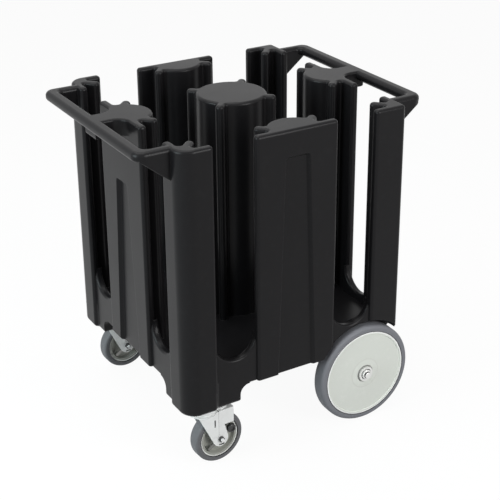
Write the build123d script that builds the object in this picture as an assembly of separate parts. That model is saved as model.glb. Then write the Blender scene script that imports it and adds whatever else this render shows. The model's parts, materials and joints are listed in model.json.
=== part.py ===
from build123d import *
from math import atan2, cos, degrees, hypot, radians, sin, sqrt
import os

# A moulded caddy that holds four stacks of plates in wells between fluted posts. It rolls on
# two large wheels on one axle and on two braked swivel casters, and has a handle at each end.
# +X runs from the caster end to the large-wheel end, -Y is one long side, +Z is up.
# The origin is on the floor, under the middle of the caddy. All sizes are in millimetres.
os.makedirs("parts", exist_ok=True)

# Overall sizes of the moulded body
height = 800
half_length = 291
half_width = 293
corner_radius = 38
wheel_end_corner_radius = 11
lip_radius = 7.5

# Plate wells: their pitch, the circle that the rib tips lie on, and the ribs
well_offset = 154
rib_circle_radius = 110
rib_width = 21

# Posts and the slots between them
post_half_width = 105.5
slot_width = 103.5
wall_thickness = 20
leg_end_radius = 7.9
centre_post_radius = 84
bulge_radius = 64
bulge_depth = 79
plan_fillet = 7

# Skirts under the slots
skirt_recess = 8
skirt_thickness = 20
sill_height = 19
slot_lip_radius = 7

# Base under the wells, and the pads under it that the casters bolt to
base_depth = 52
arch_above_floor = 11
base_edge_radius = 5
pad_length = 143
pad_width = 121
pad_edge_radius = 9
pad_flare = 24

# Shallow tapered panels pressed into the outer faces of the middle posts
panel_depth = 9
panel_side_draft = 35
panel_corner_radius = 8
side_panel_drop = 62
side_panel_top = 32
side_panel_bottom = 51
end_panel_drop = 162
end_panel_top = 28
end_panel_bottom = 55

# End handles
handle_reach = 79
handle_bar_width = 31
handle_bar_depth = 24
handle_half_length = 252
handle_corner_radius = 25
handle_arm_width = 26
handle_inner_fillet = 13
handle_edge_radius = 10.5
handle_root = 14
web_neck = 55
web_depth = 42
web_flare = 30
web_edge_radius = 6
gusset_drop = 75
gusset_tip = 20
gusset_edge_radius = 4

# Large wheels and their axle
wheel_x = 197.5
wheel_radius = 127
wheel_width = 38
wheel_plane = 276
tyre_depth = 16
tyre_shoulder = 9
arch_gap = 7
arch_side_gap = 6
arch_wall = 6
arch_lip = 4
axle_radius = 8
axle_reach = 308
hub_boss_radius = 37
hub_bush_wall = 2.5
axle_clearance = 0.05
hub_boss_half = 21
hub_disc_drop = 2
hub_disc_thickness = 5
hub_rim_thickness = 7
hub_rib_count = 8
hub_rib_thickness = 4
hub_rib_drop = 8
hub_pocket_radius = 22.2
hub_rim_draft = 2
hub_inner_inset = 3
hub_rim_bevel = 1
hub_boss_raise = 1.2
hub_boss_bevel = 2
washer_seat_outer = 3
washer_seat_inner = 1
bearing_boss_radius = 38
bearing_boss_outer = 245
bearing_boss_length = 60
axle_bush_wall = 3
bush_flange = 2
bush_flange_extra = 5
washer_radius = 19
washer_thickness = 2
cap_radius = 12
cap_thickness = 5
face_gap = 0.3

# Casters
caster_x = 228
caster_y = 252
caster_turn = 2.8
caster_trail = 32
caster_radius = 63.5
caster_hub_radius = 50
caster_width = 31
plate_length = 92
plate_width = 60
plate_thickness = 3
plate_corner = 6
bolt_spacing_x = 70
bolt_spacing_y = 40
bolt_radius = 4
bolt_length = 28
bolt_head_radius = 6.5
bolt_head_height = 5
bolt_play = 0.25
insert_wall = 3
insert_length = 24
fork_top_gap = 9
fork_thickness = 3
fork_inner_half = 18.6
fork_lobe_radius = 20
raceway_radius = 30
raceway_depth = 8
raceway_gap = 5
race_step = 1
yoke_margin = 2
raceway_wall = 2.5
ball_radius = 2.5
ball_count = 20
kingpin_radius = 6
kingpin_head_radius = 11
kingpin_head_height = 3
kingpin_collar_radius = 9
caster_axle_radius = 4
caster_sleeve_radius = 6
running_clearance = 0.05
nut_across_flats = 13
nut_height = 6
bolt_tail = 3
caster_rim_thickness = 8
caster_boss_radius = 13
caster_web_half = 4
caster_shoulder = 6
caster_rim_inset = 2.5
caster_boss_draft = 2
caster_rim_draft = 3
leg_front = 58
leg_back = 36
leg_crease = 6
leg_shoulder_z = 99
leg_raise_z = 75
leg_raise = 1.5
leg_mark_x = 16
leg_mark_z = 110
leg_mark_width = 3
leg_mark_height = 19
leg_mark_depth = 1
slot_below_nut = 48
leg_slot_x = 2
leg_slot_width = 14
leg_slot_height = 3.5
lever_thickness = 2
lever_width = 9
knob_place = (29, 19)
knob_radius = 11
knob_height = 8
knob_edge = 3
knob_dish_depth = 2
shoe_place = (-29, -20)
shoe_length = 11
shoe_width = 12
shoe_thickness = 3
shoe_rib_count = 4
shoe_rib_gap = 1.4

# Sizes that follow from the driving dimensions
slot_end = post_half_width + slot_width
slot_middle = post_half_width + slot_width / 2
slot_radius = slot_width / 2
rib_offset = rib_circle_radius / sqrt(2)
tip_in = well_offset - rib_offset
tip_out = well_offset + rib_offset
arch_radius = wheel_radius + arch_gap
floor_z = wheel_radius + arch_radius - arch_above_floor
bottom_z = floor_z - base_depth
slot_bottom_z = floor_z + sill_height
slot_arc_z = slot_bottom_z + slot_radius
fork_top_z = 2 * caster_radius + fork_top_gap + fork_thickness
plate_bottom_z = fork_top_z + raceway_depth + raceway_gap
pad_bottom_z = plate_bottom_z + plate_thickness
handle_end_x = half_length + handle_reach
lower_race_top = plate_bottom_z - 2 * ball_radius - running_clearance - face_gap
insert_radius = bolt_radius + running_clearance + insert_wall
washer_low = wheel_plane + hub_boss_half + face_gap
arch_wall_y = wheel_plane - wheel_width / 2 - arch_side_gap


def soften(plan, convex, concave):
    """Round the outward corners of a plan, then its inward corners."""
    plan = offset(offset(plan, amount=-convex), amount=convex)
    return offset(offset(plan, amount=concave), amount=-concave)


def rib(start, end):
    """A rib in plan, whose rounded end touches the point end."""
    dx = end[0] - start[0]
    dy = end[1] - start[1]
    length = hypot(dx, dy) - rib_width / 2
    angle = degrees(atan2(dy, dx))
    middle_x = start[0] + cos(radians(angle)) * length / 2
    middle_y = start[1] + sin(radians(angle)) * length / 2
    return Pos(middle_x, middle_y) * SlotCenterToCenter(length, rib_width, rotation=angle)


def block(low, high):
    """A box between two corners."""
    size = [high[i] - low[i] for i in range(3)]
    middle = [(high[i] + low[i]) / 2 for i in range(3)]
    return Pos(*middle) * Box(*size)


def plan_block(low_x, high_x, low_y, high_y):
    """A rectangle in plan between two corners."""
    middle = Pos((low_x + high_x) / 2, (low_y + high_y) / 2)
    return middle * Rectangle(high_x - low_x, high_y - low_y)


def column(plan, low, high, lip):
    """A plan pulled up from one height to another, with a rounded top edge."""
    solid = extrude(Pos(0, 0, low) * plan, amount=high - low)
    return fillet(solid.edges().group_by(Axis.Z)[-1], lip)


def four_ways(shape):
    """A shape in the +X +Y quarter and its mirror images in the other three."""
    pair = [shape, mirror(shape, about=Plane.YZ)]
    return pair + [mirror(s, about=Plane.XZ) for s in pair]


def turned(profile, middle_x, middle_y, middle_z):
    """A ring turned about an axis along Y from a profile of radius and distance along Y."""
    on_side = Plane(origin=(0, 0, 0), x_dir=(1, 0, 0), z_dir=(0, 0, 1))
    solid = revolve(on_side * profile, axis=Axis.Y)
    return Pos(middle_x, middle_y, middle_z) * solid


def rod_y(radius, low_y, high_y, x, z):
    """A round bar along Y."""
    bar = Cylinder(radius, high_y - low_y, rotation=(90, 0, 0))
    return Pos(x, (low_y + high_y) / 2, z) * bar


def rod_z(radius, low_z, high_z, x=0, y=0):
    """A round bar along Z."""
    return Pos(x, y, (low_z + high_z) / 2) * Cylinder(radius, high_z - low_z)


# Plans of the posts
def centre_post_plan():
    plan = Circle(centre_post_radius)
    for sx, sy in ((1, 1), (1, -1), (-1, 1), (-1, -1)):
        plan += rib((0, 0), (sx * tip_in, sy * tip_in))
    return soften(plan, leg_end_radius, plan_fillet)


def middle_post_plan(reach):
    """The post in the middle of the side at +Y, whose outer face is at reach."""
    plan = plan_block(-post_half_width, post_half_width, reach - wall_thickness, reach)
    bulge_middle = reach - bulge_depth + bulge_radius
    inside = plan_block(-bulge_radius, bulge_radius, reach - bulge_depth, reach - wall_thickness / 2)
    plan += Pos(0, bulge_middle) * Circle(bulge_radius) & inside
    root = bulge_radius / 2
    for side in (-1, 1):
        plan += rib((side * (tip_in - root), tip_out + root), (side * tip_in, tip_out))
    return soften(plan, leg_end_radius, plan_fillet)


def corner_post_plan(radius):
    """The post in the corner at +X +Y, with the radius of its outer corner."""
    outline = plan_block(slot_end, half_length, slot_end, half_width)
    outline -= plan_block(0, half_length - wall_thickness, 0, half_width - wall_thickness)
    half_wall = wall_thickness / 2
    outline += rib((half_length - half_wall, half_width - half_wall), (tip_out, tip_out))
    outline = soften(outline, leg_end_radius, plan_fillet)
    return outline & RectangleRounded(2 * half_length, 2 * half_width, radius)


# Skirts, base and pads of the body
def slot_cut(low_y, high_y):
    """The round bottom of a slot through a wall square to Y, with a rounded lip each side."""
    half = (high_y - low_y) / 2
    r = slot_lip_radius
    reach = slot_radius + r
    side = Line((0, -half), (reach, -half))
    lip_low = CenterArc((reach, -half + r), r, 180, 90)
    wall = Line((slot_radius, -half + r), (slot_radius, half - r))
    lip_high = CenterArc((reach, half - r), r, 90, 90)
    close = Line((reach, half), (0, half))
    profile = make_face(side + lip_low + wall + lip_high + close + Line((0, half), (0, -half)))
    return turned(profile, slot_middle, (low_y + high_y) / 2, slot_arc_z)


def skirt(reach):
    """The wall under one slot in the side at +Y."""
    outer = reach - skirt_recess
    inner = outer - skirt_thickness
    overlap = leg_end_radius / 2
    low = (post_half_width - overlap, inner, bottom_z + base_edge_radius)
    high = (slot_end + overlap, outer, slot_arc_z)
    return block(low, high) - slot_cut(inner, outer)


def base_plan():
    plan = Rectangle(2 * half_length, 2 * half_width)
    plan = fillet(plan.vertices().group_by(Axis.X)[-1], wheel_end_corner_radius)
    plan = fillet(plan.vertices().group_by(Axis.X)[0], corner_radius)
    for notch in (
        plan_block(post_half_width, slot_end, half_width - skirt_recess, half_width + 1),
        plan_block(half_length - skirt_recess, half_length + 1, post_half_width, slot_end),
    ):
        for copy in four_ways(notch):
            plan -= copy
    return offset(offset(plan, amount=-leg_end_radius), amount=leg_end_radius)


def rounded_bottom(plan, low, high, edge):
    solid = extrude(Pos(0, 0, low) * plan, amount=high - low)
    return fillet(solid.edges().group_by(Axis.Z)[0], edge)


def pad(plan):
    """The pad under the corner at -X +Y that a caster bolts to, flared into the base."""
    inner_x = pad_length - half_length
    inner_y = half_width - pad_width
    far_x = -half_length - pad_flare
    far_y = half_width + pad_flare
    root_z = bottom_z + base_depth / 2
    core = plan_block(far_x, inner_x, inner_y, far_y)
    core = fillet(core.vertices().group_by(Axis.X)[-1].sort_by(Axis.Y)[0], pad_edge_radius + 1)
    solid = extrude(Pos(0, 0, pad_bottom_z) * core, amount=root_z - pad_bottom_z)
    solid += block((far_x, inner_y - pad_flare - 1, bottom_z), (inner_x + pad_flare + 1, far_y, root_z))
    at_base = solid.edges().filter_by_position(Axis.Z, bottom_z, bottom_z)
    at_core = [e for e in at_base if e.center().X < inner_x + 1 and e.center().Y > inner_y - 1]
    solid = fillet(at_core, pad_flare)
    outline = soften(plan, pad_edge_radius + 1, pad_edge_radius)
    solid &= extrude(Pos(0, 0, pad_bottom_z) * outline, amount=root_z - pad_bottom_z)
    return fillet(solid.edges().group_by(Axis.Z)[0], pad_edge_radius)


# Wheel housings at the large-wheel end, on the +Y side
def arch_cut():
    outer = half_width
    r = arch_radius
    points = [(0, arch_wall_y), (r - arch_side_gap, arch_wall_y), (r, arch_wall_y + arch_side_gap)]
    points += [(r, outer - skirt_recess - arch_lip), (r + arch_lip, outer - skirt_recess)]
    points += [(r + arch_lip + skirt_recess / 2, outer + 1), (0, outer + 1)]
    profile = make_face(Polyline(*points, close=True))
    return turned(profile, wheel_x, 0, wheel_radius)


def arch_blister():
    """The bulge at the foot of the skirt that covers the top of the wheel."""
    r = arch_radius + arch_wall
    low_y = arch_wall_y - arch_wall
    points = [(0, low_y), (r - 2 * arch_side_gap, low_y), (r, low_y + 2 * arch_side_gap)]
    points += [(r, half_width - skirt_recess - 1), (0, half_width - skirt_recess - 1)]
    solid = turned(make_face(Polyline(*points, close=True)), wheel_x, 0, wheel_radius)
    low = (wheel_x - arch_radius, 0, bottom_z + base_edge_radius)
    return solid & block(low, (half_length - wall_thickness / 2, half_width, slot_bottom_z + sill_height))


def bearing_boss():
    """The moulded leg under the base that the axle runs through."""
    side = Pos(wheel_x, wheel_radius) * Circle(bearing_boss_radius)
    side += plan_block(
        wheel_x - bearing_boss_radius, wheel_x + bearing_boss_radius,
        wheel_radius, bottom_z + base_depth / 2,
    )
    solid = extrude(Plane.XZ * side, amount=bearing_boss_length / 2, both=True)
    solid = fillet([e for e in solid.edges() if e.center().Z < bottom_z], lip_radius)
    return Pos(0, bearing_boss_outer - bearing_boss_length / 2, 0) * solid


# Panels pressed into the middle posts' outer faces
def panel_cut(drop, top_half, bottom_half, reach):
    top = height - drop
    low = bottom_z - 2 * panel_depth
    spread = (bottom_half - top_half) / (top - bottom_z)
    low_half = bottom_half + spread * 2 * panel_depth
    points = [(-low_half, low), (-top_half, top), (top_half, top), (low_half, low)]
    sketch = make_face(Polyline(*points, close=True))
    upper = [v for v in sketch.vertices() if v.Y > top - 1]
    sketch = fillet(upper, panel_corner_radius)
    on_face = Plane(origin=(0, reach, 0), x_dir=(-1, 0, 0), z_dir=(0, 1, 0))
    return extrude(on_face * sketch, amount=-panel_depth, taper=panel_side_draft)


# The handle at the +X end
def handle_outline():
    outline = plan_block(half_length - handle_root, handle_end_x, -handle_half_length, handle_half_length)
    return fillet(outline.vertices().group_by(Axis.X)[-1], handle_corner_radius)


def handle_bar_plan():
    bar_inner = handle_end_x - handle_bar_width
    arm_inner = handle_half_length - handle_arm_width
    hole = plan_block(0, bar_inner, -arm_inner, arm_inner)
    hole = fillet(hole.vertices().group_by(Axis.X)[-1], handle_inner_fillet)
    return handle_outline() - hole


def handle_web_plan():
    bar_inner = handle_end_x - handle_bar_width
    root_x = half_length - handle_root
    half_foot = web_neck / 2 + 2 * web_flare
    plan = plan_block(root_x, handle_end_x - handle_edge_radius, -web_neck / 2, web_neck / 2)
    plan += plan_block(root_x, half_length, -half_foot, half_foot)
    corners = [v for v in plan.vertices() if root_x < v.X < bar_inner and abs(v.Y) < half_foot - 1]
    return fillet(corners, web_flare)


def round_both(solid, radius):
    """Round the upper and the lower edges of a part of the handle."""
    edges = solid.edges().group_by(Axis.Z)
    return fillet(edges[-1] + edges[0], radius)


def gusset():
    """The bracket under the arm at +Y, kept inside the handle's outline."""
    low_tip = height - gusset_tip
    points = [
        (half_length - handle_root, height - handle_bar_depth / 2),
        (handle_end_x - handle_edge_radius, height - handle_bar_depth / 2),
        (handle_end_x - handle_edge_radius, low_tip),
        (half_length, height - gusset_drop),
        (half_length - handle_root, height - gusset_drop),
    ]
    outline = Plane.XZ * make_face(Polyline(*points, close=True))
    side = extrude(outline, amount=handle_arm_width / 2, both=True)
    under = [e for e in side.edges() if e.center().Z < low_tip and abs(e.tangent_at(0.5).Y) < 0.5]
    side = Pos(0, handle_half_length - handle_arm_width / 2, 0) * fillet(under, gusset_edge_radius)
    return side & extrude(Pos(0, 0, height - gusset_drop) * handle_outline(), amount=gusset_drop)


def handle():
    bar = extrude(Pos(0, 0, height - handle_bar_depth) * handle_bar_plan(), amount=handle_bar_depth)
    web = extrude(Pos(0, 0, height - web_depth) * handle_web_plan(), amount=web_depth)
    solid = round_both(bar, handle_edge_radius) + round_both(web, web_edge_radius)
    bracket = gusset()
    return solid + bracket + mirror(bracket, about=Plane.XZ)


def moulded_body():
    plan = base_plan()
    body = rounded_bottom(plan, bottom_z, floor_z, base_edge_radius)
    root = bottom_z + base_depth / 2
    body += column(centre_post_plan(), root, height, lip_radius)
    side_post = column(middle_post_plan(half_width), root, height, lip_radius)
    body += [side_post, mirror(side_post, about=Plane.XZ)]
    end_post = Rot(0, 0, -90) * column(middle_post_plan(half_length), root, height, lip_radius)
    body += [end_post, mirror(end_post, about=Plane.YZ)]
    wheel_post = column(corner_post_plan(wheel_end_corner_radius), root, height, lip_radius)
    caster_post = mirror(column(corner_post_plan(corner_radius), root, height, lip_radius), about=Plane.YZ)
    for post in (wheel_post, caster_post):
        body += [post, mirror(post, about=Plane.XZ)]
    body += four_ways(skirt(half_width))
    body += four_ways(mirror(Rot(0, 0, 90) * skirt(half_length), about=Plane.YZ))
    caster_pad = pad(plan)
    body += [caster_pad, mirror(caster_pad, about=Plane.XZ)]
    grip = handle()
    body += [grip, mirror(grip, about=Plane.YZ)]
    for about in (None, Plane.XZ):
        for shape in (arch_blister(), bearing_boss()):
            body += mirror(shape, about=about) if about else shape
    for about in (None, Plane.XZ):
        cut = arch_cut()
        body -= mirror(cut, about=about) if about else cut
    side_panel = panel_cut(side_panel_drop, side_panel_top, side_panel_bottom, half_width)
    end_panel = Rot(0, 0, -90) * panel_cut(end_panel_drop, end_panel_top, end_panel_bottom, half_length)
    body -= [side_panel, mirror(side_panel, about=Plane.XZ)]
    body -= [end_panel, mirror(end_panel, about=Plane.YZ)]
    bush_hole = axle_radius + axle_clearance + axle_bush_wall + axle_clearance
    for side in (-1, 1):
        inner = side * (bearing_boss_outer - bearing_boss_length - 1)
        outer = side * (bearing_boss_outer + 1)
        body -= rod_y(bush_hole, min(inner, outer), max(inner, outer), wheel_x, wheel_radius)
        for x, y in plate_bolt_places():
            pocket_top = pad_bottom_z + insert_length + insert_wall
            pocket = rod_z(insert_radius + running_clearance, pad_bottom_z - 1, pocket_top)
            body -= Pos(x - caster_x, y + side * caster_y, 0) * pocket
    return body


# Axle, and the small parts that hold a large wheel on it
def both_sides(shape):
    return Compound(children=[shape, mirror(shape, about=Plane.XZ)])


def tube_y(outer, inner, low_y, high_y):
    """A tube about the large wheels' axle."""
    solid = rod_y(outer, low_y, high_y, wheel_x, wheel_radius)
    return solid - rod_y(inner, low_y - 1, high_y + 1, wheel_x, wheel_radius)


def axle():
    solid = rod_y(axle_radius, -axle_reach, axle_reach, wheel_x, wheel_radius)
    return chamfer(solid.edges().filter_by(GeomType.CIRCLE), axle_radius / 6)


def axle_bush():
    inner = axle_radius + axle_clearance
    outer = inner + axle_bush_wall
    low = bearing_boss_outer - bearing_boss_length
    sleeve = tube_y(outer, inner, low, bearing_boss_outer)
    flange = tube_y(outer + bush_flange_extra, inner, bearing_boss_outer, bearing_boss_outer + bush_flange)
    return sleeve + flange


def axle_spacer():
    low = bearing_boss_outer + bush_flange
    high = wheel_plane - hub_boss_half - face_gap
    return tube_y(cap_radius, axle_radius + axle_clearance, low, high)


def outer_washer():
    return tube_y(washer_radius, axle_radius + axle_clearance, washer_low, washer_low + washer_thickness)


def push_cap():
    low = washer_low + washer_thickness
    solid = tube_y(cap_radius, axle_radius + axle_clearance, low, low + cap_thickness)
    rim = solid.edges().filter_by(GeomType.CIRCLE).group_by(Axis.Y)[-1].sort_by(SortBy.RADIUS)[-1]
    return fillet(rim, cap_thickness / 3)


# One large wheel, at +Y; the profiles are radius and distance out from the wheel's middle plane
def on_axle(profile):
    return turned(profile, wheel_x, wheel_plane, wheel_radius)


def large_hub():
    bore = axle_radius + axle_clearance + hub_bush_wall + axle_clearance
    rim = wheel_radius - tyre_depth
    half = wheel_width / 2
    disc = half - hub_disc_drop
    points = [(bore, -hub_boss_half), (hub_boss_radius / 2, -hub_boss_half)]
    points += [(hub_pocket_radius, disc - hub_disc_thickness)]
    inner = rim - hub_rim_thickness
    inset = -half + hub_inner_inset
    face = disc + hub_boss_raise
    points += [(inner - hub_rim_draft, disc - hub_disc_thickness), (inner, inset), (rim, inset)]
    points += [(rim, half - hub_rim_bevel), (rim - hub_rim_bevel, half), (inner + hub_rim_bevel, half)]
    points += [(inner, disc), (hub_boss_radius + hub_boss_bevel, disc), (hub_boss_radius, face)]
    points += [(washer_radius + washer_seat_outer, face)]
    points += [(washer_radius + washer_seat_inner, hub_boss_half), (bore, hub_boss_half)]
    solid = on_axle(make_face(Polyline(*points, close=True)))
    low_y = wheel_plane - half + hub_rib_drop
    high_y = wheel_plane + disc - hub_disc_thickness / 2
    half_rib = hub_rib_thickness / 2
    spoke = block((hub_boss_radius / 3, low_y, -half_rib), (rim - hub_rim_draft, high_y, half_rib))
    for turn in range(hub_rib_count):
        angle = 360 / hub_rib_count * turn
        solid += Pos(wheel_x, 0, wheel_radius) * Rot(0, angle, 0) * spoke
    return solid


def large_tyre():
    half = wheel_width / 2
    rim = wheel_radius - tyre_depth
    section = plan_block(rim, wheel_radius, -half, half)
    section = fillet(section.vertices().group_by(Axis.X)[-1], tyre_shoulder)
    return on_axle(section)


def large_bearing():
    inner = axle_radius + axle_clearance
    return tube_y(inner + hub_bush_wall, inner, wheel_plane - hub_boss_half, wheel_plane + hub_boss_half)


# One caster, about its swivel axis at the origin, with its wheel trailing towards +X
def plate_bolt_places():
    half_x = bolt_spacing_x / 2
    half_y = bolt_spacing_y / 2
    return [(sx * half_x, sy * half_y) for sx in (-1, 1) for sy in (-1, 1)]


def caster_plate():
    plan = RectangleRounded(plate_length, plate_width, plate_corner)
    solid = extrude(Pos(0, 0, plate_bottom_z) * plan, amount=plate_thickness)
    skirt_low = plate_bottom_z - raceway_depth
    ring = rod_z(raceway_radius, skirt_low, plate_bottom_z)
    ring -= rod_z(raceway_radius - raceway_wall, skirt_low - 1, plate_bottom_z + 1)
    low_edge = ring.edges().group_by(Axis.Z)[0].sort_by(SortBy.RADIUS)[-1]
    solid += fillet(low_edge, raceway_wall / 3)
    solid -= rod_z(kingpin_radius + running_clearance, skirt_low, pad_bottom_z + 1)
    for x, y in plate_bolt_places():
        solid -= rod_z(bolt_radius + bolt_play, plate_bottom_z - 1, pad_bottom_z + 1, x, y)
    return solid


def caster_balls():
    pitch = raceway_radius - raceway_wall - ball_radius - running_clearance
    ball = Pos(pitch, 0, plate_bottom_z - ball_radius - running_clearance) * Sphere(ball_radius)
    return Compound(children=[Rot(0, 0, 360 / ball_count * turn) * ball for turn in range(ball_count)])


def kingpin():
    head_top = fork_top_z - fork_thickness - face_gap
    collar_low = lower_race_top + face_gap
    solid = rod_z(kingpin_radius, head_top - kingpin_head_height, pad_bottom_z - running_clearance)
    solid += rod_z(kingpin_collar_radius, collar_low, plate_bottom_z - running_clearance)
    head = rod_z(kingpin_head_radius, head_top - kingpin_head_height, head_top)
    low_edge = head.edges().filter_by(GeomType.CIRCLE).group_by(Axis.Z)[0]
    return solid + fillet(low_edge, kingpin_head_height / 2)


def leg_plan():
    """A fork leg seen along the wheel's axle, with the axle at the origin."""
    top = fork_top_z - caster_radius
    hull = make_hull(
        (Line((-leg_front, top), (0, top))).edges() + Circle(fork_lobe_radius).edges()
    )
    shoulder = plan_block(-leg_crease, leg_back, leg_shoulder_z - caster_radius, top)
    return hull + shoulder


def caster_fork():
    inner = fork_inner_half
    outer = inner + fork_thickness
    plan = leg_plan()
    leg = extrude(Plane.XZ * plan, amount=-fork_thickness)
    raised = plan & plan_block(-2 * leg_front, -leg_crease, leg_raise_z - caster_radius, height)
    leg += Pos(0, fork_thickness, 0) * extrude(Plane.XZ * raised, amount=-leg_raise)
    groove = Box(leg_mark_width, 2 * leg_mark_depth, leg_mark_height)
    leg -= Pos(-leg_mark_x, fork_thickness + leg_raise, leg_mark_z - caster_radius) * groove
    slot = Box(leg_slot_width, 3 * fork_thickness, leg_slot_height)
    leg -= Pos(leg_slot_x, 0, slot_below_nut - caster_radius) * slot
    far_leg = Pos(caster_trail, inner, caster_radius) * leg
    near_leg = mirror(far_leg, about=Plane.XZ)
    yoke_plan = plan_block(caster_trail - leg_front, caster_trail + leg_back, -outer, outer)
    yoke_plan += Circle(raceway_radius + yoke_margin)
    yoke = extrude(Pos(0, 0, fork_top_z - fork_thickness) * yoke_plan, amount=fork_thickness)
    race = rod_z(raceway_radius - raceway_wall - race_step, fork_top_z - 1, lower_race_top)
    solid = yoke + race + far_leg + near_leg
    bore = caster_axle_radius + running_clearance
    solid -= rod_z(kingpin_radius + running_clearance, fork_top_z - 2 * fork_thickness, lower_race_top + 1)
    return solid - rod_y(bore, -2 * outer, 2 * outer, caster_trail, caster_radius)


def caster_sleeve():
    half = fork_inner_half - running_clearance
    bore = caster_axle_radius + running_clearance
    solid = rod_y(caster_sleeve_radius, -half, half, caster_trail, caster_radius)
    return solid - rod_y(bore, -2 * half, 2 * half, caster_trail, caster_radius)


def caster_bolt():
    outer = fork_inner_half + fork_thickness
    solid = rod_y(caster_axle_radius, -outer - nut_height - bolt_tail, outer, caster_trail, caster_radius)
    head = extrude(Plane.XZ * RegularPolygon(nut_across_flats / sqrt(3), 6), amount=-nut_height)
    return solid + Pos(caster_trail, outer, caster_radius) * head


def caster_nut():
    outer = fork_inner_half + fork_thickness
    nut = extrude(Plane.XZ * RegularPolygon(nut_across_flats / sqrt(3), 6), amount=nut_height)
    nut = Pos(caster_trail, -outer, caster_radius) * nut
    return nut - rod_y(caster_axle_radius, -2 * outer, 0, caster_trail, caster_radius)


def on_caster_axle(profile):
    return turned(profile, caster_trail, 0, caster_radius)


def caster_hub():
    bore = caster_sleeve_radius + running_clearance
    boss_half = fork_inner_half - lever_thickness - 2 * face_gap
    rim_half = caster_width / 2 - caster_rim_inset
    inner_rim = caster_hub_radius - caster_rim_thickness
    points = [(bore, -boss_half), (caster_boss_radius, -boss_half)]
    points += [(caster_boss_radius + caster_boss_draft, -caster_web_half)]
    points += [(inner_rim - caster_rim_draft, -caster_web_half), (inner_rim, -rim_half)]
    points += [(caster_hub_radius, -rim_half)]
    points += [(r, -y) for r, y in reversed(points)]
    return on_caster_axle(make_face(Polyline(*points, close=True)))


def caster_tyre():
    section = plan_block(caster_hub_radius, caster_radius, -caster_width / 2, caster_width / 2)
    section = fillet(section.vertices().group_by(Axis.X)[-1], caster_shoulder)
    return on_caster_axle(section)


# The brake lever lies between the near fork leg and the wheel, and turns on the sleeve
def lever_layer(plan, out_y, in_y):
    """A plan seen along the axle, made solid between two distances from the wheel's plane."""
    solid = extrude(Plane.XZ * plan, amount=out_y - in_y)
    return Pos(caster_trail, -in_y, caster_radius) * solid


def brake_lever():
    out_y = fork_inner_half - face_gap
    in_y = out_y - lever_thickness
    plan = Circle(2 * caster_sleeve_radius)
    for point, width in ((knob_place, lever_width), (shoe_place, lever_width)):
        length = hypot(*point)
        angle = degrees(atan2(point[1], point[0]))
        plan += Rot(0, 0, angle) * Pos(length / 2, 0) * SlotCenterToCenter(length, width)
    plan -= Circle(caster_sleeve_radius + running_clearance)
    return lever_layer(plan, out_y, in_y)


def brake_knob():
    out_y = fork_inner_half - face_gap
    solid = lever_layer(Pos(*knob_place) * Circle(knob_radius), out_y + knob_height, out_y)
    edge = solid.edges().group_by(Axis.Y)[0]
    solid = fillet(edge, knob_edge)
    top_y = out_y + knob_height
    dish = lever_layer(Pos(*knob_place) * Circle(knob_radius / 2), top_y + 1, top_y - knob_dish_depth)
    return solid - dish


def brake_shoe():
    in_y = fork_inner_half - face_gap - lever_thickness
    angle = degrees(atan2(shoe_place[1], shoe_place[0]))
    plan = Rectangle(shoe_length, shoe_width)
    for step in range(shoe_rib_count):
        middle = (step + 0.5) / shoe_rib_count * shoe_width - shoe_width / 2
        plan -= Pos(shoe_length / 2, middle) * Rectangle(2 * shoe_rib_gap, shoe_rib_gap)
    plan = Pos(*shoe_place) * Rot(0, 0, angle) * plan
    return lever_layer(plan, in_y, in_y - shoe_thickness)


def plate_bolt():
    low = plate_bottom_z - bolt_head_height
    head = extrude(RegularPolygon(bolt_head_radius, 6), amount=bolt_head_height)
    return rod_z(bolt_radius, low, low + bolt_length) + Pos(0, 0, low) * head


def insert():
    top = pad_bottom_z + insert_length
    solid = rod_z(insert_radius, pad_bottom_z, top)
    return solid - rod_z(bolt_radius + running_clearance, pad_bottom_z - 1, top + 1)


def at_casters(shape, side, turn):
    """A piece of one caster, moved to the corner at -X and turned about its swivel axis."""
    return Pos(-caster_x, side * caster_y, 0) * Rot(0, 0, turn) * shape


def write(name, shape):
    shape.label = name
    export_step(shape, f"parts/{name}.step")


def build():
    write("moulded_body", moulded_body())
    write("axle", axle())
    for name, make in (
        ("axle_bushes", axle_bush),
        ("axle_spacers", axle_spacer),
        ("outer_washers", outer_washer),
        ("push_caps", push_cap),
    ):
        write(name, both_sides(make()))
    for name, make in (
        ("large_wheel_hub", large_hub),
        ("large_wheel_tyre", large_tyre),
        ("large_wheel_bearing", large_bearing),
    ):
        left = make()
        write(f"{name}_left", left)
        write(f"{name}_right", mirror(left, about=Plane.XZ))
    for name, make, turn in (
        ("caster_plate", caster_plate, 0),
        ("caster_balls", caster_balls, 0),
        ("caster_kingpin", kingpin, 0),
        ("caster_fork", caster_fork, caster_turn),
        ("caster_sleeve", caster_sleeve, caster_turn),
        ("caster_axle_bolt", caster_bolt, caster_turn),
        ("caster_axle_nut", caster_nut, caster_turn),
        ("caster_hub", caster_hub, caster_turn),
        ("caster_tyre", caster_tyre, caster_turn),
        ("brake_lever", brake_lever, caster_turn),
        ("brake_knob", brake_knob, caster_turn),
        ("brake_shoe", brake_shoe, caster_turn),
    ):
        piece = make()
        write(f"{name}_left", at_casters(piece, 1, turn))
        write(f"{name}_right", at_casters(piece, -1, turn))
    for name, make in (("plate_bolts", plate_bolt), ("threaded_inserts", insert)):
        piece = make()
        copies = [at_casters(Pos(x, y, 0) * piece, s, 0) for s in (-1, 1) for x, y in plate_bolt_places()]
        write(name, Compound(children=copies))


if __name__ == "__main__":
    build()
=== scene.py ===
import json
import math

import bmesh
import bpy
from mathutils import Matrix, Vector


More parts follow.
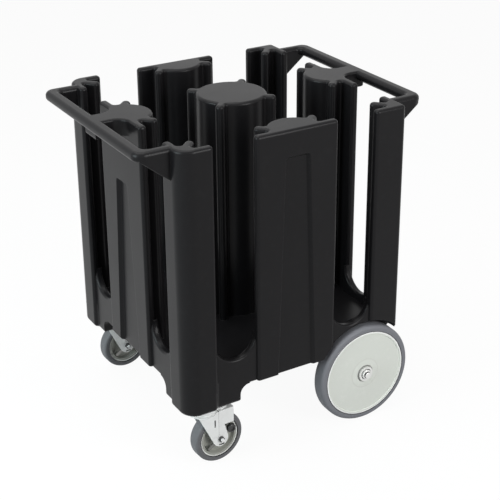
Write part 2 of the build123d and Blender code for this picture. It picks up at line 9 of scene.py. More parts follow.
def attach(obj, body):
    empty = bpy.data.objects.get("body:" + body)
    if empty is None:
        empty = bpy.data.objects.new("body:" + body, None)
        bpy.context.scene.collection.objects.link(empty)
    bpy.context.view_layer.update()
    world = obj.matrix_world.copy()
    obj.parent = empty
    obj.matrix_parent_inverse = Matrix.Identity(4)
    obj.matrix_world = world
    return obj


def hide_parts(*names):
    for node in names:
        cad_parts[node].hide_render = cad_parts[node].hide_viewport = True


bl_info = {
    "name": "Dish caddy looks",
    "version": (1, 0, 0),
    "blender": (4, 5, 0),
    "location": "3D View > Sidebar > Caddy",
    "description": "Finishes the surfaces of the moulded dish caddy and sets its studio",
    "category": "Object",
}

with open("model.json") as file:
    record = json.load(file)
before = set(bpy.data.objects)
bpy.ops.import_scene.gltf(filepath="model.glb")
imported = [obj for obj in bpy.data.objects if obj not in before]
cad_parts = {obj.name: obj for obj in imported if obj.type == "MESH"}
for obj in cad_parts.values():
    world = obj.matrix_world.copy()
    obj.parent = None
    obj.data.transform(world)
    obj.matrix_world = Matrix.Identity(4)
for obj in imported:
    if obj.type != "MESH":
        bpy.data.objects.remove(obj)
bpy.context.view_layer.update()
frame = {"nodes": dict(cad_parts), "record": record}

SIDES = ("left", "right")

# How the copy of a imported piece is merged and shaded
MERGE_DISTANCE = 2e-6
CREASE_DEGREES = 32.0
FLAT_FACE_WEIGHT = 80

# The joint that places the marks of the axle and of both large wheels, which turn about one line
LARGE_WHEEL_ROLL = "large_wheel_left_roll"

# Bands round an axis: middle radius and half width, in metres
DISC_RIM = (0.1092, 0.0018)
# Painted shade: a slightly darker band standing for the soft shading round the disc's low raised boss
DISC_BOSS_SHADE = (0.0380, 0.0016)
# Painted shade: a dark band standing for the shade in the recess round the axle's end
DISC_RECESS_SHADE = (0.0210, 0.0014)
TYRE_JOINT = (0.1116, 0.0008)
WASHER_EDGE = (0.0131, 0.0009)
CAP_EDGE = (0.0083, 0.0006)
CASTER_TYRE_JOINT = (0.0506, 0.0008)
CASTER_RIM = (0.0486, 0.0014)

# Painted shade on a fork's legs: how far along and above the wheel's axle, and half the size, in metres
FORK_GROOVE_SHADE = (-0.016, 0.0465, (0.0017, 0.04, 0.0097))
FORK_CREASE_SHADE = (-0.0054, 0.0435, (0.0007, 0.04, 0.032))
FORK_SLOT_SHADE = (0.002, -0.0155, (0.0072, 0.04, 0.0019))

# Colour sockets of a Mix node, whose names repeat for each kind of value
MIX_FIRST = 6
MIX_SECOND = 7
MIX_RESULT = 2

# Reflection strength of a plain surface, and depth of the scratches in plating, in metres
PLAIN_SPECULAR = 0.5
SCRATCH_DEPTH = 0.00002

# The studio: colours, the way to the bright side of the room, where it fades, and the camera's own sizes
WHITE = (1.0, 1.0, 1.0, 1.0)
FLOOR_TONE = (0.85, 0.85, 0.85, 1.0)
LAMP_AIM = (0.0, 0.0, 0.4)
ROOM_BRIGHT_WAY = (-0.75, 0.55, 0.35)
ROOM_FADE_START = -0.45
ROOM_FADE_END = 0.75
SENSOR_WIDTH_MM = 36.0
CAMERA_REACH = 50.0


# Kinds of setting
def colour_setting(name, value, about):
    return bpy.props.FloatVectorProperty(
        name=name, description=about, subtype="COLOR", size=3, min=0.0, max=1.0, default=value
    )


def share_setting(name, value, about):
    return bpy.props.FloatProperty(
        name=name, description=about, subtype="FACTOR", min=0.0, max=1.0, default=value
    )


def size_setting(name, value, about):
    return bpy.props.FloatProperty(
        name=name, description=about, subtype="DISTANCE", unit="LENGTH", min=0.0, default=value
    )


def place_setting(name, value, about):
    return bpy.props.FloatVectorProperty(
        name=name, description=about, subtype="TRANSLATION", unit="LENGTH", size=3, default=value
    )


def angle_setting(name, degrees, about):
    return bpy.props.FloatProperty(
        name=name, description=about, subtype="ANGLE", unit="ROTATION", default=math.radians(degrees)
    )


def power_setting(name, value, about):
    return bpy.props.FloatProperty(
        name=name, description=about, subtype="POWER", unit="POWER", default=value
    )


class CaddyBodyLook(bpy.types.PropertyGroup):
    """Finish of the moulded body."""

    plastic: colour_setting("Plastic", (0.0085, 0.0081, 0.0088), "Charcoal polyethylene")
    scuffed: colour_setting("Scuffed plastic", (0.0145, 0.0140, 0.0150), "Where the skin is rubbed")
    roughness: share_setting("Roughness", 0.29, "Roughness of the moulded skin")
    specular: share_setting("Reflection", 0.13, "Strength of the skin's reflections")
    grain: size_setting("Grain", 0.0022, "Width of one dimple of the moulded skin")
    grain_depth: size_setting("Grain depth", 0.00008, "Depth of the moulded skin's dimples")
    crease: angle_setting("Crease", CREASE_DEGREES, "Edges sharper than this stay crisp")
    edge: size_setting("Edge", 0.0022, "Radius that the light finds on sharp moulded edges")


class CaddyWheelLook(bpy.types.PropertyGroup):
    """Finish of the large wheels and the axle."""

    disc: colour_setting("Disc", (0.735, 0.763, 0.708), "Light grey wheel plastic")
    disc_scuffed: colour_setting("Scuffed disc", (0.86, 0.87, 0.83), "Where the disc is rubbed")
    disc_roughness: share_setting("Disc roughness", 0.42, "Roughness of the wheel plastic")
    rim: colour_setting("Rim", (0.97, 0.98, 0.96), "White line round the disc")
    # Painted shade: a slightly darker band for the soft shading round the disc's raised boss
    boss_shade: colour_setting("Boss", (0.70, 0.72, 0.67), "Soft line round the middle of the disc")
    # Painted shade in the recess round the axle's end
    recess_shade: colour_setting("Recess", (0.20, 0.20, 0.19), "Dark line near the axle's end")
    tyre: colour_setting("Tyre", (0.185, 0.190, 0.208), "Grey rubber")
    tyre_scuffed: colour_setting("Scuffed tyre", (0.22, 0.225, 0.24), "Where the rubber is rubbed")
    tyre_roughness: share_setting("Tyre roughness", 0.6, "Roughness of the rubber")
    tyre_specular: share_setting("Tyre reflection", 0.35, "Strength of the rubber's reflections")
    joint_line: colour_setting("Joint line", (0.03, 0.03, 0.035), "Dark lines where pieces meet")
    steel: colour_setting("Axle steel", (0.82, 0.82, 0.80), "Plated axle, washers and caps")
    steel_roughness: share_setting("Steel roughness", 0.38, "Roughness of the axle's plating")
    steel_metal: share_setting("Steel metal", 0.6, "How much the axle mirrors, not scatters")
    nylon: colour_setting("Nylon", (0.70, 0.69, 0.64), "Bearings, bushes and spacers")
    nylon_scuffed: colour_setting("Scuffed nylon", (0.6, 0.59, 0.54), "Where the nylon is rubbed")


class CaddyCasterLook(bpy.types.PropertyGroup):
    """Finish of the casters and their brakes."""

    plating: colour_setting("Plating", (0.93, 0.94, 0.93), "Bright zinc plating")
    plating_roughness: share_setting("Plating roughness", 0.42, "Roughness of the plating")
    plating_metal: share_setting("Plating metal", 0.12, "How much the plating mirrors, not scatters")
    balls: colour_setting("Balls", (0.7, 0.7, 0.7), "Polished balls of the swivel")
    nut: colour_setting("Nut", (0.10, 0.10, 0.10), "Dark nut on the caster's axle")
    # Painted shade in the fork legs' groove, crease and slot, and the dark joint line of the caster tyre
    shade: colour_setting("Shade", (0.02, 0.02, 0.02), "Dark marks of the fork legs and the tyre's joint")
    tyre: colour_setting("Caster tyre", (0.125, 0.125, 0.132), "Grey rubber of the small wheels")
    tyre_scuffed: colour_setting("Scuffed tyre", (0.20, 0.205, 0.215), "Where the rubber is rubbed")
    tyre_roughness: share_setting("Tyre roughness", 0.6, "Roughness of the rubber")
    tyre_specular: share_setting("Tyre reflection", 0.35, "Strength of the rubber's reflections")
    hub: colour_setting("Hub", (0.345, 0.350, 0.315), "Grey caster hub")
    hub_scuffed: colour_setting("Scuffed hub", (0.46, 0.47, 0.42), "Where the hub is rubbed")
    rim: colour_setting("Rim", (0.95, 0.96, 0.93), "White line round the hub")
    # Partly the lever's own dark steel and partly painted shade, for its place between the fork leg and
    # the wheel
    lever: colour_setting("Lever", (0.20, 0.20, 0.19), "Darker steel of the brake lever")
    knob: colour_setting("Knob", (0.02, 0.02, 0.02), "Black brake knob")
    knob_scuffed: colour_setting("Scuffed knob", (0.05, 0.05, 0.05), "Where the knob is rubbed")
    shoe: colour_setting("Shoe", (0.05, 0.052, 0.042), "Ribbed brake shoe")
    shoe_scuffed: colour_setting("Scuffed shoe", (0.09, 0.09, 0.075), "Where the shoe is rubbed")


class CaddyStudio(bpy.types.PropertyGroup):
    """Camera, lamps and floor."""

    camera_place: place_setting("Camera place", (-1.3591, -2.3890, 1.7110), "Where the camera stands")
    camera_yaw: angle_setting("Camera yaw", -30.517, "Turn of the camera about the vertical")
    camera_pitch: angle_setting("Camera pitch", 23.362, "How far the camera looks down")
    camera_roll: angle_setting("Camera roll", 0.478, "Tilt of the camera to its right")
    lens: bpy.props.FloatProperty(
        name="Lens", description="Focal length on a 36 mm frame", min=10.0, default=88.74
    )
    rise: bpy.props.FloatProperty(
        name="Rise", description="Vertical shift, in widths of the frame", default=-0.1
    )
    top_place: place_setting("Top place", (-0.3, 0.2, 2.6), "Where the lamp overhead hangs")
    top_width: size_setting("Top width", 2.0, "Width of the lamp overhead")
    top_lamp: power_setting("Top lamp", 33.0, "Power of the lamp overhead")
    side_place: place_setting("Side place", (-2.6, -0.2, 1.3), "Where the lamp at the caster end stands")
    side_width: size_setting("Side width", 1.6, "Width of the lamp at the caster end")
    side_lamp: power_setting("Side lamp", 60.0, "Power of the lamp at the caster end")
    side_tint: colour_setting("Side tint", (0.83, 0.97, 1.0), "Colour of the lamp at the caster end")
    front_place: place_setting("Front place", (0.9, -2.8, 1.6), "Where the lamp by the camera stands")
    front_width: size_setting("Front width", 1.4, "Width of the lamp by the camera")
    front_lamp: power_setting("Front lamp", 58.0, "Power of the lamp by the camera")
    floor_size: size_setting("Floor", 40.0, "Width of the floor")
    floor_shadow: share_setting("Shadow", 0.06, "How much of the shadow shows on the white floor")
    floor_bounce: share_setting("Bounce", 0.30, "How much light the floor throws back on the caddy")
    room_bright: share_setting("Bright side", 0.6, "Brightness of the room behind and beside")
    room_dark: share_setting("Dark side", 0.05, "Brightness of the room by the camera")


# The name that each group of settings has on the scene
LOOKS = {
    "caddy_body": CaddyBodyLook,
    "caddy_wheels": CaddyWheelLook,
    "caddy_casters": CaddyCasterLook,
    "caddy_studio": CaddyStudio,
}


# Shader helpers
def link(tree, source, target):
    tree.links.new(source, target)


def new_node(tree, kind, **values):
    """A node whose properties and unlinked inputs are set by name."""
    made = tree.nodes.new(kind)
    for name, value in values.items():
        if name in made.inputs:
            made.inputs[name].default_value = value
        else:
            setattr(made, name, value)
    return made


def feed(tree, node, values):
    """Link or set a node's first inputs, in order."""
    for socket, value in zip(node.inputs, values):
        if isinstance(value, bpy.types.NodeSocket):
            link(tree, value, socket)
        else:
            socket.default_value = value


def maths(tree, operation, *values):
    """The outcome of one operation on numbers or sockets."""
    made = new_node(tree, "ShaderNodeMath", operation=operation)
    feed(tree, made, values)
    return made.outputs["Value"]


def vector_maths(tree, operation, *values, out="Vector"):
    """The outcome of one operation on vectors or sockets."""
    made = new_node(tree, "ShaderNodeVectorMath", operation=operation)
    feed(tree, made, values)
    return made.outputs[out]


def noise(tree, place, **values):
    """A cloudy pattern, read at a place."""
    made = new_node(tree, "ShaderNodeTexNoise", **values)
    link(tree, place, made.inputs["Vector"])
    return made


def spread(tree, value, low, high, start=0.0, end=1.0, fade="LINEAR"):
    """A number that goes from low to high as a value goes from start to end."""
    made = new_node(tree, "ShaderNodeMapRange", interpolation_type=fade)
    feed(tree, made, (value, start, end, low, high))
    return made.outputs["Result"]


def mixed_colour(tree, share, first, second):
    """The first colour, covered by a share of the second."""
    made = new_node(tree, "ShaderNodeMix", data_type="RGBA")
    link(tree, share, made.inputs["Factor"])
    link(tree, first, made.inputs[MIX_FIRST])
    link(tree, second, made.inputs[MIX_SECOND])
    return made.outputs[MIX_RESULT]


def mixed_shader(tree, share, first, second):
    """The first shader, covered by a share of the second."""
    made = new_node(tree, "ShaderNodeMixShader")
    feed(tree, made, (share, first, second))
    return made.outputs["Shader"]


# Surfaces and marks that materials share
SURFACE_OUTPUTS = [
    ("Colour", "NodeSocketColor"), ("Roughness", "NodeSocketFloat"), ("Height", "NodeSocketFloat"),
]
MARK_INPUTS = [
    ("Vector", "NodeSocketVector"), ("Colour", "NodeSocketColor"),
    ("Mark colour", "NodeSocketColor"), ("Centre", "NodeSocketVector"),
]
MARK_OUTPUTS = [("Colour", "NodeSocketColor")]


def new_group(name, inputs, outputs):
    """An empty shader node group with its sockets, and its two end nodes."""
    tree = bpy.data.node_groups.new(name, "ShaderNodeTree")
    for socket, kind in inputs:
        tree.interface.new_socket(name=socket, in_out="INPUT", socket_type=kind)
    for socket, kind in outputs:
        tree.interface.new_socket(name=socket, in_out="OUTPUT", socket_type=kind)
    return tree, tree.nodes.new("NodeGroupInput"), tree.nodes.new("NodeGroupOutput")


def surface_end(tree, given, result, colour, change, height):
    """Put out a surface's colour, its height, and its roughness with a change that varies over it."""
    rough = maths(tree, "ADD", change, given.outputs["Roughness"])
    link(tree, colour, result.inputs["Colour"])
    link(tree, rough, result.inputs["Roughness"])
    link(tree, height, result.inputs["Height"])


def speckled_skin_group():
    """Shared by every plastic and rubber: fine dimples, soft patches and rubbed spots."""
    tree, given, result = new_group(
        "Speckled skin",
        [
            ("Vector", "NodeSocketVector"), ("Colour", "NodeSocketColor"),
            ("Rubbed colour", "NodeSocketColor"), ("Rubbed share", "NodeSocketFloat"),
            ("Roughness", "NodeSocketFloat"), ("Grain scale", "NodeSocketFloat"),
        ],
        SURFACE_OUTPUTS,
    )
    place = given.outputs["Vector"]
    patches = noise(tree, place, Scale=9.0, Detail=4.0, Roughness=0.6)
    dimples = noise(tree, place, Detail=3.0, Roughness=0.55)
    streaks = noise(tree, place, Scale=60.0, Detail=5.0, Roughness=0.7)
    link(tree, given.outputs["Grain scale"], dimples.inputs["Scale"])
    rubbed = spread(tree, streaks.outputs["Fac"], low=0.0, high=1.0, start=0.52, end=0.78)
    share = maths(tree, "MULTIPLY", rubbed, given.outputs["Rubbed share"])
    colour = mixed_colour(tree, share, given.outputs["Colour"], given.outputs["Rubbed colour"])
    change = spread(tree, patches.outputs["Fac"], low=-0.05, high=0.07)
    surface_end(tree, given, result, colour, change, dimples.outputs["Fac"])
    return tree


def plated_steel_group():
    """Shared by every metal: drawn scratches along one axis and cloudy plating."""
    tree, given, result = new_group(
        "Plated steel",
        [("Vector", "NodeSocketVector"), ("Colour", "NodeSocketColor"), ("Roughness", "NodeSocketFloat")],
        SURFACE_OUTPUTS,
    )
    place = given.outputs["Vector"]
    stretch = new_node(tree, "ShaderNodeMapping", Scale=(0.12, 1.0, 1.0))
    link(tree, place, stretch.inputs["Vector"])
    clouds = noise(tree, place, Scale=70.0, Detail=3.0, Roughness=0.5)
    drawn = noise(tree, stretch.outputs["Vector"], Scale=400.0, Detail=3.0, Roughness=0.6)
    tint = spread(tree, clouds.outputs["Fac"], low=0.86, high=1.0)
    tinted = new_node(tree, "ShaderNodeVectorMath", operation="SCALE")
    link(tree, given.outputs["Colour"], tinted.inputs["Vector"])
    link(tree, tint, tinted.inputs["Scale"])
    change = spread(tree, drawn.outputs["Fac"], low=-0.06, high=0.08)
    surface_end(tree, given, result, tinted.outputs["Vector"], change, drawn.outputs["Fac"])
    return tree


def mark_end(tree, given, result, inside):
    """Mix the mark's colour into the surface's colour where a value is one."""
    colour = mixed_colour(tree, inside, given.outputs["Colour"], given.outputs["Mark colour"])
    link(tree, colour, result.inputs["Colour"])


def turned_ring_group():
    """A band of another colour round an axis, such as a wheel's bright rim or a dark joint line."""
    tree, given, result = new_group(
        "Turned ring",
        [
            *MARK_INPUTS, ("Axis", "NodeSocketVector"),
            ("Middle radius", "NodeSocketFloat"), ("Half width", "NodeSocketFloat"),
        ],
        MARK_OUTPUTS,
    )
    arm = vector_maths(tree, "SUBTRACT", given.outputs["Vector"], given.outputs["Centre"])
    across = vector_maths(tree, "CROSS_PRODUCT", arm, given.outputs["Axis"])
    radius = vector_maths(tree, "LENGTH", across, out="Value")
    off = maths(tree, "SUBTRACT", radius, given.outputs["Middle radius"])
    distance = maths(tree, "ABSOLUTE", off)
    mark_end(tree, given, result, maths(tree, "LESS_THAN", distance, given.outputs["Half width"]))
    return tree


def square_mark_group():
    """A patch of another colour in an upright box turned about Z, such as the shade in a groove."""
    tree, given, result = new_group(
        "Square mark",
        [*MARK_INPUTS, ("Turn", "NodeSocketFloat"), ("Half size", "NodeSocketVector")],
        MARK_OUTPUTS,
    )
    turned = new_node(tree, "ShaderNodeVectorRotate", rotation_type="Z_AXIS", invert=True)
    link(tree, given.outputs["Vector"], turned.inputs["Vector"])
    link(tree, given.outputs["Centre"], turned.inputs["Center"])
    link(tree, given.outputs["Turn"], turned.inputs["Angle"])
    arm = vector_maths(tree, "SUBTRACT", turned.outputs["Vector"], given.outputs["Centre"])
    distance = vector_maths(tree, "ABSOLUTE", arm)
    room = vector_maths(tree, "SUBTRACT", given.outputs["Half size"], distance)
    sides = new_node(tree, "ShaderNodeSeparateXYZ")
    link(tree, room, sides.inputs["Vector"])
    least = maths(tree, "MINIMUM", sides.outputs["X"], sides.outputs["Y"])
    least_of_three = maths(tree, "MINIMUM", least, sides.outputs["Z"])
    mark_end(tree, given, result, maths(tree, "GREATER_THAN", least_of_three, 0.0))
    return tree


GROUP_MAKERS = {
    "Speckled skin": speckled_skin_group,
    "Plated steel": plated_steel_group,
    "Turned ring": turned_ring_group,
    "Square mark": square_mark_group,
}


def shared_group(name):
    """A surface or mark group, made the first time that it is asked for."""
    return bpy.data.node_groups.get(name) or GROUP_MAKERS[name]()


def group_node(tree, name, place, values):
    """A shared group in a material, read at a place and with its own values."""
    made = new_node(tree, "ShaderNodeGroup", node_tree=shared_group(name))
    for socket, value in values.items():
        made.inputs[socket].default_value = value
    link(tree, place, made.inputs["Vector"])
    return made


# Marks, each as the name of its group and the group's values
def joint(name):
    """Where a joint of the frame lies and the axis it turns about."""
    for made in frame["record"]["behaviour"]["joints"]:
        if made["name"] == name:
            return Vector(made["pos_m"]), Vector(made["axis"])
    raise ValueError(f"the frame has no joint {name}")


def ring(joint_name, band, colour):
    """A coloured band round a joint's axis."""
    centre, axis = joint(joint_name)
    middle, half = band
    return "Turned ring", {
        "Centre": centre, "Axis": axis, "Middle radius": middle, "Half width": half,
        "Mark colour": (*colour, 1.0),
    }


def leg_shade(side, mark, colour):
    """A patch of painted shade on both legs of a caster's fork, placed from the caster wheel's axle."""
    along, up, half_size = mark
    centre, axis = joint(f"caster_{side}_roll")
    turn = math.atan2(-axis.x, axis.y)
    place = centre + Vector((along * math.cos(turn), along * math.sin(turn), up))
    return "Square mark", {
        "Centre": place, "Turn": turn, "Half size": half_size, "Mark colour": (*colour, 1.0),
    }


# Materials
def surface(name, group, values, depth, metallic=0.0, specular=PLAIN_SPECULAR, edge=0.0, marks=()):
    """A material fed by a shared surface group, with marks over its colour and soft edges if asked."""
    material = bpy.data.materials.new(name)
    material.use_nodes = True
    tree = material.node_tree
    shader = tree.nodes["Principled BSDF"]
    shader.inputs["Metallic"].default_value = metallic
    shader.inputs["Specular IOR Level"].default_value = specular
    place = new_node(tree, "ShaderNodeTexCoord").outputs["Object"]
    skin = group_node(tree, group, place, values)
    relief = new_node(tree, "ShaderNodeBump", Strength=1.0, Distance=depth)
    link(tree, skin.outputs["Height"], relief.inputs["Height"])
    if edge > 0.0:
        soft_edges = new_node(tree, "ShaderNodeBevel", samples=6, Radius=edge)
        link(tree, soft_edges.outputs["Normal"], relief.inputs["Normal"])
    colour = skin.outputs["Colour"]
    for kind, settings in marks:
        mark = group_node(tree, kind, place, settings)
        link(tree, colour, mark.inputs["Colour"])
        colour = mark.outputs["Colour"]
    link(tree, colour, shader.inputs["Base Color"])
    link(tree, skin.outputs["Roughness"], shader.inputs["Roughness"])
    link(tree, relief.outputs["Normal"], shader.inputs["Normal"])
    return material


def skin_surface(name, colour, rubbed, share, roughness, grain, depth, **extras):
    """Plastic or rubber, with dimples of a width and depth, and a share of rubbed colour in spots."""
    values = {
        "Colour": (*colour, 1.0), "Rubbed colour": (*rubbed, 1.0), "Rubbed share": share,
        "Roughness": roughness, "Grain scale": 1.0 / grain,
    }
    return surface(name, "Speckled skin", values, depth, **extras)


def steel_surface(name, colour, roughness, metallic=1.0, marks=()):
    """Plated or polished steel."""
    values = {"Colour": (*colour, 1.0), "Roughness": roughness}
    return surface(name, "Plated steel", values, SCRATCH_DEPTH, metallic=metallic, marks=marks)


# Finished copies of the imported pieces
def body_of_node(node):
    """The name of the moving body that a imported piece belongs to."""
    for body, nodes in frame["record"]["behaviour"]["bodies"].items():
        if node in nodes:
            return body
    raise ValueError(f"{node} is in no body")


def smooth_copy(node, material, crease):
    """Show a merged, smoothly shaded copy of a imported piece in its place."""
    source = frame["nodes"][node]
    shape = bmesh.new()
    shape.from_mesh(source.data)
    bmesh.ops.transform(shape, matrix=source.matrix_world, verts=shape.verts)
    bmesh.ops.remove_doubles(shape, verts=shape.verts, dist=MERGE_DISTANCE)
    for face in shape.faces:
        face.smooth = True
        face.material_index = 0
    for edge in shape.edges:
        edge.smooth = len(edge.link_faces) == 2 and edge.calc_face_angle(0.0) < crease
    mesh = bpy.data.meshes.new(f"{node}_finished")
    shape.to_mesh(mesh)
    shape.free()
    mesh.materials.append(material)
    piece = bpy.data.objects.new(f"{node}_finished", mesh)
    bpy.context.scene.collection.objects.link(piece)
    shading = piece.modifiers.new("Flat faces stay flat", "WEIGHTED_NORMAL")
    shading.keep_sharp = True
    shading.weight = FLAT_FACE_WEIGHT
    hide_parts(node)
    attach(piece, body_of_node(node))


def finish_nodes(names, material, crease=math.radians(CREASE_DEGREES)):
    """Smooth, finished copies of like pieces."""
    for name in names:
        smooth_copy(name, material, crease)


def on_both_sides(stem):
    """The names of a piece's left and right nodes."""
    return [f"{stem}_{side}" for side in SIDES]


class CADDY_OT_moulded_body(bpy.types.Operator):
    """Give the moulded body its charcoal skin"""

    bl_idname = "caddy.moulded_body"
    bl_label = "Moulded body"

    def execute(self, context):
        look = context.scene.caddy_body
        skin = skin_surface(
            "Charcoal polyethylene", look.plastic, look.scuffed, share=0.5, roughness=look.roughness,
            grain=look.grain, depth=look.grain_depth, specular=look.specular, edge=look.edge,
        )
        finish_nodes(["moulded_body"], skin, look.crease)
        return {"FINISHED"}


class CADDY_OT_large_wheels(bpy.types.Operator):
    """Finish the large wheels, their tyres and bearings, and the axle's bushes and spacers"""

    bl_idname = "caddy.large_wheels"
    bl_label = "Large wheels"

    def execute(self, context):
        look = context.scene.caddy_wheels
        disc = skin_surface(
            "Light grey wheel plastic", look.disc, look.disc_scuffed, share=0.4,
            roughness=look.disc_roughness, grain=0.004, depth=0.00005,
            marks=[
                ring(LARGE_WHEEL_ROLL, DISC_RIM, look.rim),
                # Painted shade round the disc's raised boss
                ring(LARGE_WHEEL_ROLL, DISC_BOSS_SHADE, look.boss_shade),
                # Painted shade in the recess round the axle's end
                ring(LARGE_WHEEL_ROLL, DISC_RECESS_SHADE, look.recess_shade),
            ],
        )
        rubber = skin_surface(
            "Grey tyre rubber", look.tyre, look.tyre_scuffed, share=0.5, roughness=look.tyre_roughness,
            grain=0.0012, depth=0.0001, specular=look.tyre_specular,
            marks=[ring(LARGE_WHEEL_ROLL, TYRE_JOINT, look.joint_line)],
        )
        nylon = skin_surface(
            "Natural nylon", look.nylon, look.nylon_scuffed, share=0.5, roughness=0.45,
            grain=0.002, depth=0.00003,
        )
        finish_nodes(on_both_sides("large_wheel_hub"), disc)
        finish_nodes(on_both_sides("large_wheel_tyre"), rubber)
        finish_nodes(on_both_sides("large_wheel_bearing"), nylon)
        finish_nodes(["axle_bushes", "axle_spacers"], nylon)
        return {"FINISHED"}


class CADDY_OT_axle(bpy.types.Operator):
    """Finish the axle, its washers and its push-on caps"""

    bl_idname = "caddy.axle"
    bl_label = "Axle"

    def execute(self, context):
        look = context.scene.caddy_wheels
        edges = [ring(LARGE_WHEEL_ROLL, band, look.joint_line) for band in (WASHER_EDGE, CAP_EDGE)]
        steel = steel_surface(
            "Plated axle steel", look.steel, look.steel_roughness, look.steel_metal, edges
        )
        finish_nodes(["axle", "outer_washers", "push_caps"], steel)
        return {"FINISHED"}


def finish_caster_wheel_and_fork(look, side):
    """The pieces whose marks lie round one caster wheel's own axle."""
    roll = f"caster_{side}_roll"
    tread = skin_surface(
        f"Grey caster tyre {side}", look.tyre, look.tyre_scuffed, share=0.5,
        roughness=look.tyre_roughness, grain=0.0012, depth=0.0001, specular=look.tyre_specular,
        marks=[ring(roll, CASTER_TYRE_JOINT, look.shade)],
    )
    hub = skin_surface(
        f"Grey caster hub {side}", look.hub, look.hub_scuffed, share=0.4, roughness=0.45,
        grain=0.003, depth=0.00005, marks=[ring(roll, CASTER_RIM, look.rim)],
    )
    fork = steel_surface(
        f"Bright zinc fork {side}", look.plating, look.plating_roughness, look.plating_metal,
        # Painted shade in the groove, crease and slot of the fork legs
        [leg_shade(side, mark, look.shade) for mark in (FORK_GROOVE_SHADE, FORK_CREASE_SHADE, FORK_SLOT_SHADE)],
    )
    finish_nodes([f"caster_tyre_{side}"], tread)
    finish_nodes([f"caster_hub_{side}"], hub)
    finish_nodes([f"caster_fork_{side}"], fork)


class CADDY_OT_casters(bpy.types.Operator):
    """Finish the swivel casters and what bolts them on"""

    bl_idname = "caddy.casters"
    bl_label = "Casters"

    def execute(self, context):
        look = context.scene.caddy_casters
        plating = steel_surface(
            "Bright zinc plating", look.plating, look.plating_roughness, look.plating_metal
        )
        polished = steel_surface("Polished ball steel", look.balls, roughness=0.12)
        nut = steel_surface("Dark steel nut", look.nut, roughness=0.4)
        for part in ("plate", "kingpin", "sleeve", "axle_bolt"):
            finish_nodes(on_both_sides(f"caster_{part}"), plating)
        finish_nodes(on_both_sides("caster_axle_nut"), nut)
        finish_nodes(on_both_sides("caster_balls"), polished)
        for side in SIDES:
            finish_caster_wheel_and_fork(look, side)
        finish_nodes(["plate_bolts", "threaded_inserts"], plating)
        return {"FINISHED"}


class CADDY_OT_brakes(bpy.types.Operator):
    """Finish the brake levers, their knobs and their shoes"""

    bl_idname = "caddy.brakes"
    bl_label = "Brakes"

    def execute(self, context):
        look = context.scene.caddy_casters
        # The lever's colour is partly its own dark steel and partly painted shade
        lever = steel_surface("Brake lever steel", look.lever, roughness=0.4)
        knob = skin_surface(
            "Black brake knob", look.knob, look.knob_scuffed, share=0.5, roughness=0.3,
            grain=0.001, depth=0.00003,
        )
        shoe = skin_surface(
            "Brake shoe rubber", look.shoe, look.shoe_scuffed, share=0.5, roughness=0.6,
            grain=0.001, depth=0.00005,
        )
        finish_nodes(on_both_sides("brake_lever"), lever)
        finish_nodes(on_both_sides("brake_knob"), knob)
        finish_nodes(on_both_sides("brake_shoe"), shoe)
        return {"FINISHED"}


# The studio
def background_rays(tree):
    """One for rays that see the background, also mirrored or through glass, and nought for the rest."""
    rays = new_node(tree, "ShaderNodeLightPath")
    seen = rays.outputs["Is Camera Ray"]
    for kind in ("Is Glossy Ray", "Is Transmission Ray"):
        seen = maths(tree, "MAXIMUM", seen, rays.outputs[kind])
    return seen


def white_floor(look):
    """A pale floor that shows white, with the caddy's own soft shadow on it."""
    material = bpy.data.materials.new("White floor")
    material.use_nodes = True
    tree = material.node_tree
    tree.nodes.remove(tree.nodes["Principled BSDF"])
    bounce = (look.floor_bounce, look.floor_bounce, look.floor_bounce, 1.0)
    plain = new_node(tree, "ShaderNodeBsdfDiffuse", Color=FLOOR_TONE)
    dim = new_node(tree, "ShaderNodeBsdfDiffuse", Color=bounce)
    bright = new_node(tree, "ShaderNodeEmission", Color=WHITE, Strength=1.0)
    whiteness = 1.0 - look.floor_shadow
    veiled = mixed_shader(tree, whiteness, plain.outputs["BSDF"], bright.outputs["Emission"])
    shown = mixed_shader(tree, background_rays(tree), dim.outputs["BSDF"], veiled)
    link(tree, shown, tree.nodes["Material Output"].inputs["Surface"])
    return material


def white_room(look):
    """White where it is seen; as light, bright behind and at the caster end and darker by the camera."""
    world = bpy.data.worlds.new("White studio")
    world.use_nodes = True
    tree = world.node_tree
    place = new_node(tree, "ShaderNodeTexCoord").outputs["Generated"]
    bright_way = Vector(ROOM_BRIGHT_WAY).normalized()
    toward = vector_maths(tree, "DOT_PRODUCT", place, bright_way, out="Value")
    level = spread(
        tree, toward, low=look.room_dark, high=look.room_bright,
        start=ROOM_FADE_START, end=ROOM_FADE_END, fade="SMOOTHSTEP",
    )
    plain = tree.nodes["Background"]
    plain.inputs["Color"].default_value = WHITE
    link(tree, level, plain.inputs["Strength"])
    seen = new_node(tree, "ShaderNodeBackground", Color=WHITE, Strength=1.0)
    shown = mixed_shader(
        tree, background_rays(tree), plain.outputs["Background"], seen.outputs["Background"]
    )
    link(tree, shown, tree.nodes["World Output"].inputs["Surface"])
    return world


def soft_lamp(name, place, width, power, tint=(1.0, 1.0, 1.0)):
    """A square soft box that faces the middle of the caddy."""
    lamp = bpy.data.lights.new(name, "AREA")
    lamp.size = width
    lamp.energy = power
    lamp.color = tint
    box = bpy.data.objects.new(name, lamp)
    box.location = place
    box.rotation_euler = (Vector(LAMP_AIM) - Vector(place)).to_track_quat("-Z", "Y").to_euler()
    bpy.context.scene.collection.objects.link(box)


def lay_floor(look):
    """One flat square under the caddy."""
    shape = bmesh.new()
    bmesh.ops.create_grid(shape, x_segments=1, y_segments=1, size=look.floor_size / 2)
    mesh = bpy.data.meshes.new("floor")
    shape.to_mesh(mesh)
    shape.free()
    mesh.materials.append(white_floor(look))
    floor = bpy.data.objects.new("floor", mesh)
    bpy.context.scene.collection.objects.link(floor)


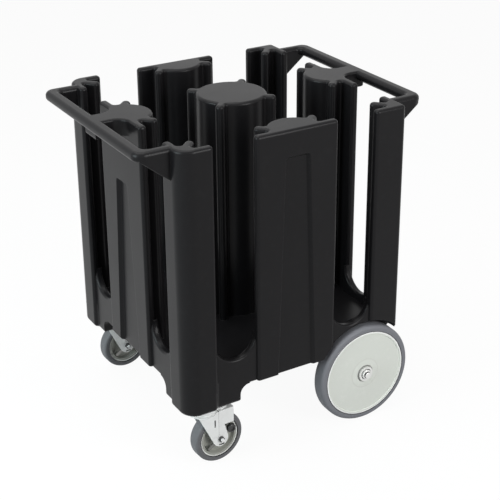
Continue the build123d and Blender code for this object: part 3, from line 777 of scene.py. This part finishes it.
def stand_camera(look):
    """The camera at the photograph's viewing angle."""
    camera = bpy.data.cameras.new("Camera")
    camera.lens = look.lens
    camera.sensor_width = SENSOR_WIDTH_MM
    camera.shift_y = look.rise
    camera.clip_end = CAMERA_REACH
    turn = Matrix.Rotation(look.camera_yaw, 3, "Z")
    tilt = Matrix.Rotation(math.pi / 2 - look.camera_pitch, 3, "X")
    roll = Matrix.Rotation(-look.camera_roll, 3, "Z")
    stand = bpy.data.objects.new("Camera", camera)
    stand.matrix_world = Matrix.Translation(look.camera_place) @ (turn @ tilt @ roll).to_4x4()
    bpy.context.scene.collection.objects.link(stand)
    bpy.context.scene.camera = stand


class CADDY_OT_studio(bpy.types.Operator):
    """Lay the white floor, set the lamps and stand the camera"""

    bl_idname = "caddy.studio"
    bl_label = "Studio"

    def execute(self, context):
        scene = context.scene
        look = scene.caddy_studio
        lay_floor(look)
        scene.world = white_room(look)
        soft_lamp("Top lamp", look.top_place, look.top_width, look.top_lamp)
        soft_lamp("Side lamp", look.side_place, look.side_width, look.side_lamp, look.side_tint)
        soft_lamp("Front lamp", look.front_place, look.front_width, look.front_lamp)
        stand_camera(look)
        scene.view_settings.view_transform = "Standard"
        return {"FINISHED"}


STEPS = (
    CADDY_OT_moulded_body, CADDY_OT_large_wheels, CADDY_OT_axle, CADDY_OT_casters,
    CADDY_OT_brakes, CADDY_OT_studio,
)


class CADDY_PT_panel(bpy.types.Panel):
    """Lists the caddy's finishing steps and settings in the sidebar"""

    bl_label = "Dish caddy"
    bl_idname = "CADDY_PT_panel"
    bl_space_type = "VIEW_3D"
    bl_region_type = "UI"
    bl_category = "Caddy"

    def draw(self, context):
        for step in STEPS:
            self.layout.operator(step.bl_idname)
        for group in LOOKS:
            settings = getattr(context.scene, group)
            box = self.layout.box()
            for name in settings.__annotations__:
                box.prop(settings, name)


def register():
    for group, look in LOOKS.items():
        bpy.utils.register_class(look)
        setattr(bpy.types.Scene, group, bpy.props.PointerProperty(type=look))
    for step in (*STEPS, CADDY_PT_panel):
        bpy.utils.register_class(step)


def unregister():
    for step in reversed((*STEPS, CADDY_PT_panel)):
        bpy.utils.unregister_class(step)
    for group, look in LOOKS.items():
        delattr(bpy.types.Scene, group)
        bpy.utils.unregister_class(look)


def main():
    register()
    for step in STEPS:
        family, name = step.bl_idname.split(".")
        getattr(getattr(bpy.ops, family), name)()


if __name__ == "__main__":
    main()
